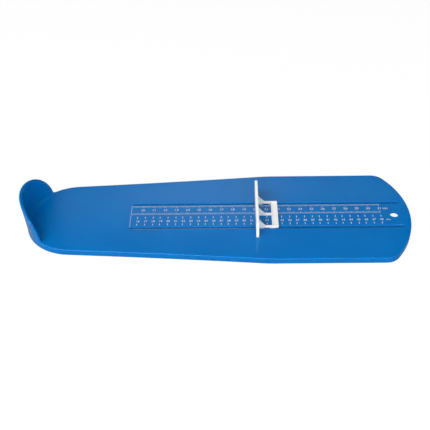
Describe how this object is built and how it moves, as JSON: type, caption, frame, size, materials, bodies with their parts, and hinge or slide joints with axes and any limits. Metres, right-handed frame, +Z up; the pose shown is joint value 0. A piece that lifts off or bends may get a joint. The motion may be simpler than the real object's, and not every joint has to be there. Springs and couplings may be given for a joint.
{
  "type": "foot measuring device",
  "caption": "Flat foot gauge with a heel cup, a printed length and shoe-size scale, and a toe slider that runs in two slots.",
  "frame": {"origin": "zero of the scale at the heel end, on the middle line, on the surface that the plate stands on", "axes": "+X along the foot towards the toes, +Y across the plate to the left of the foot's direction, +Z up"},
  "size_m": [0.3398, 0.112, 0.0357],
  "materials": {
    "base_plate": "satin blue moulded plastic",
    "slider": "satin white moulded plastic",
    "centimetre_scale": "flat white ink",
    "shoe_size_scale": "flat white ink"
  },
  "bodies": {
    "plate": {"base_plate": "base_plate", "centimetre_scale": "centimetre_scale", "shoe_size_scale": "shoe_size_scale"},
    "toe_slider": {"slider": "slider"}
  },
  "joints": [
    {"name": "slider_travel", "type": "slide", "parent": "plate", "child": "toe_slider", "axis": [1, 0, 0], "range_m": [-0.11, 0.11]}
  ]
}
